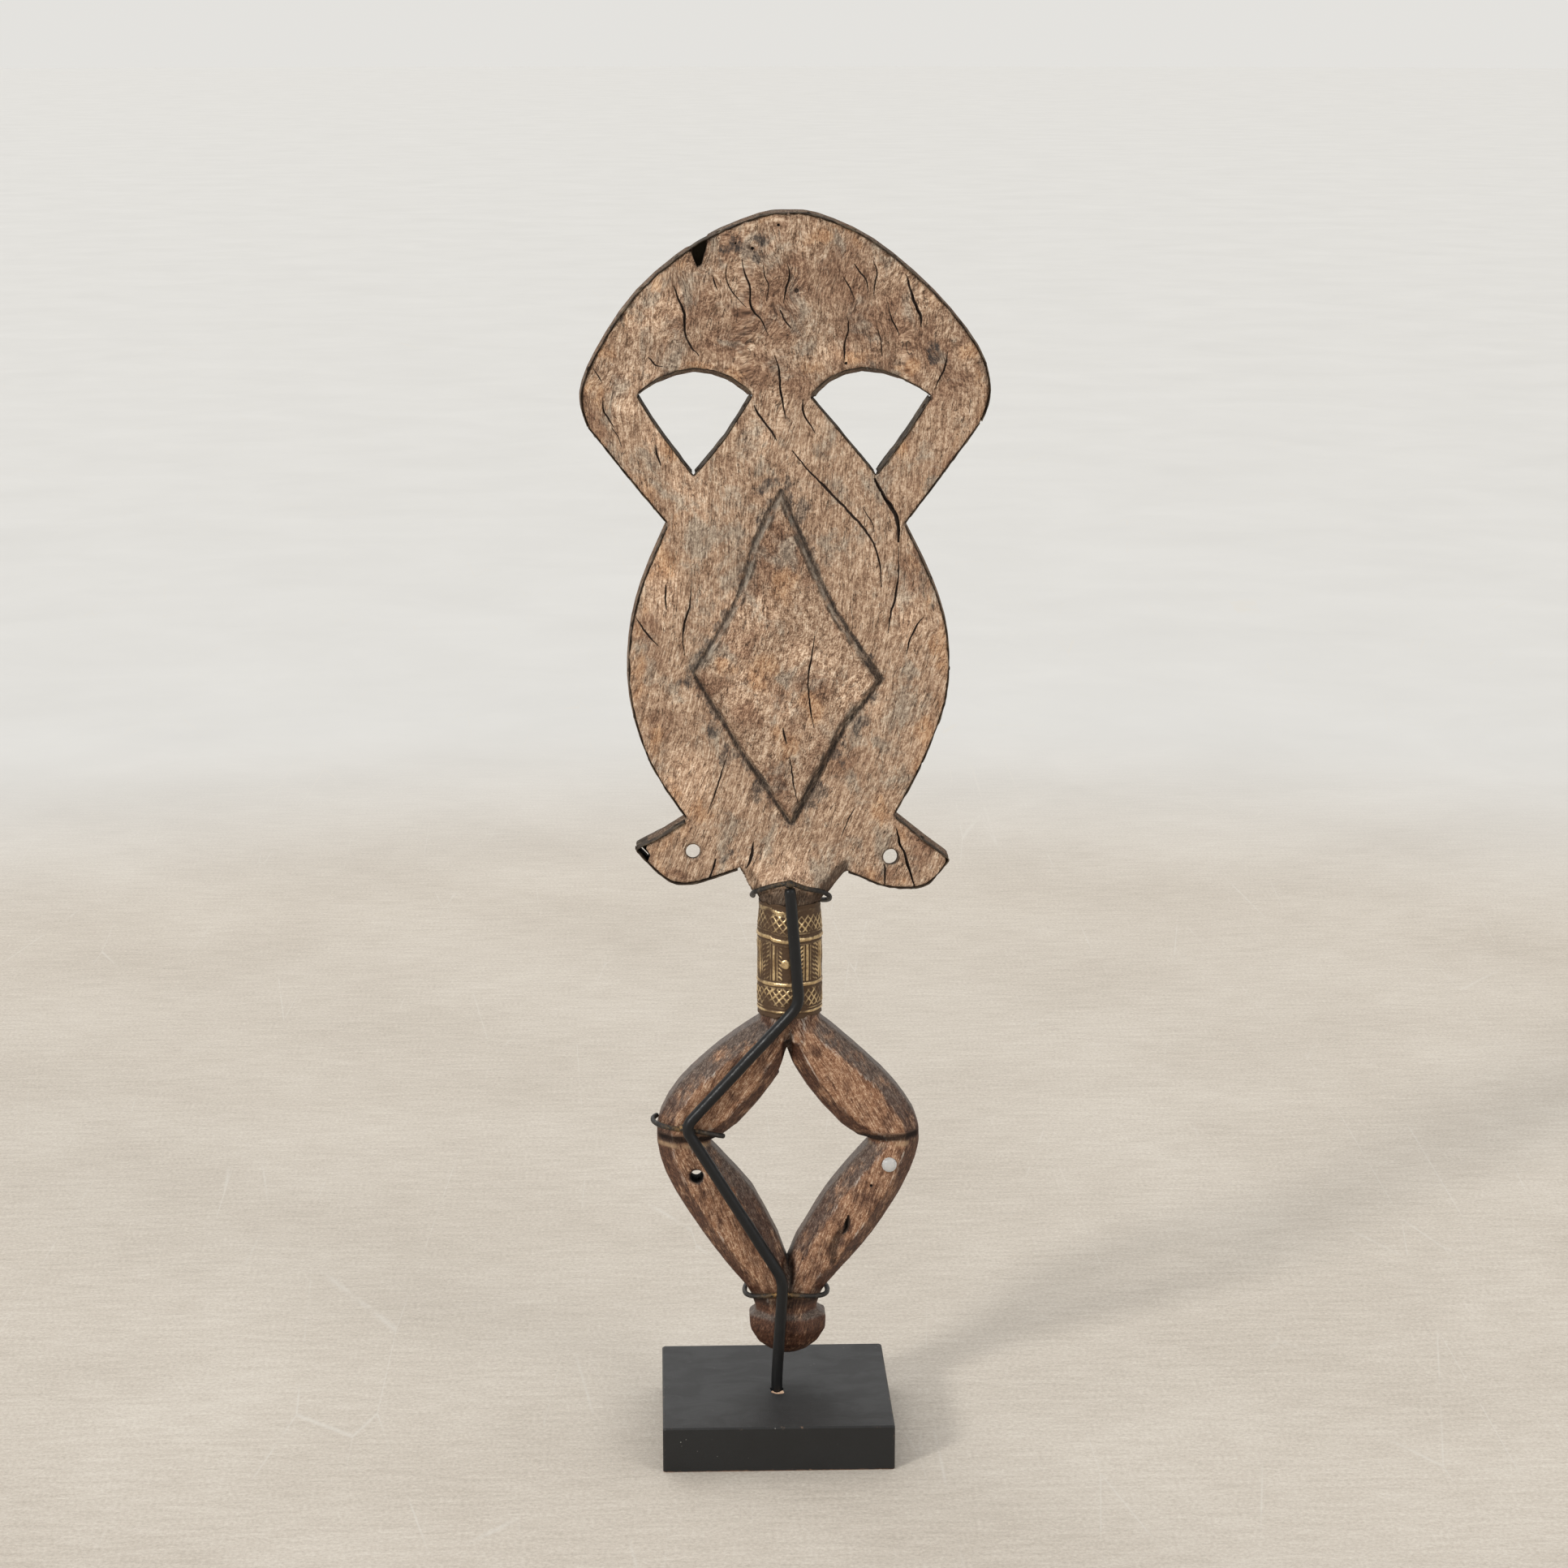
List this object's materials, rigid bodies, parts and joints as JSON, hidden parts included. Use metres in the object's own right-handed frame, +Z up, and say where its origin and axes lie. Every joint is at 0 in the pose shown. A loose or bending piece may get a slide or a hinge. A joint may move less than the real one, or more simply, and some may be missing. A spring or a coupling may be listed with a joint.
{
  "type": "reliquary guardian figure on a display stand",
  "caption": "Carved wooden guardian figure with crescent headdress, oval face and open diamond legs, front clad in sheet brass, held by a bent rod with wire clips in a square black block.",
  "frame": {"origin": "centre of the underside of the square display block, where the object stands", "axes": "+Z up; the metal-clad front faces -Y and the bare wooden back faces +Y; +X is the figure's own left"},
  "size_m": [0.2075, 0.12, 0.6413],
  "materials": {
    "aged_wood": "dry, weathered, grey-brown",
    "brass_sheet": "tarnished, hand beaten",
    "copper_sheet": "tarnished copper, hand beaten",
    "dark_strip": "blackened sheet edge",
    "iron": "forged, rusty black",
    "black_steel": "satin black paint",
    "black_block": "matte black paint with chips",
    "clear_rubber": "clear silicone"
  },
  "bodies": {
    "stand": {"base_block": "black_block"},
    "figure": {"mount_rod": "black_steel", "neck_clip": "black_steel", "knee_clip": "black_steel", "ankle_clip": "black_steel", "clear_bumper": "clear_rubber", "wood_core": "aged_wood", "neck_sleeve": "brass_sheet", "crescent_sheet": "brass_sheet", "strut_sheet_left": "brass_sheet", "strut_sheet_right": "brass_sheet", "face_sheet_upper_left": "brass_sheet", "face_sheet_upper_right": "brass_sheet", "face_sheet_lower_left": "copper_sheet", "face_sheet_lower_right": "copper_sheet", "pendant_sheet_left": "brass_sheet", "pendant_sheet_right": "brass_sheet", "face_band_upright": "copper_sheet", "face_band_left": "copper_sheet", "face_band_right": "copper_sheet", "nose_ridge": "brass_sheet", "eye_dome_left": "brass_sheet", "eye_dome_right": "brass_sheet", "eye_nail_left": "iron", "eye_nail_right": "iron", "crown_edge_left": "dark_strip", "crown_edge_right": "dark_strip", "strut_edge_left": "dark_strip", "strut_edge_right": "dark_strip", "cheek_edge_left": "dark_strip", "cheek_edge_right": "dark_strip", "pendant_edge_left": "dark_strip", "pendant_edge_right": "dark_strip", "arch_lining_left": "dark_strip", "arch_lining_right": "dark_strip", "face_lining_left": "dark_strip", "face_lining_right": "dark_strip", "strut_lining_left": "dark_strip", "strut_lining_right": "dark_strip"}
  },
  "joints": [
    {"name": "post_swivel", "type": "hinge", "parent": "stand", "child": "figure", "pos_m": [-0.0006, 0.0057, 0.024], "axis": [0, 0, 1], "continuous": true}
  ]
}
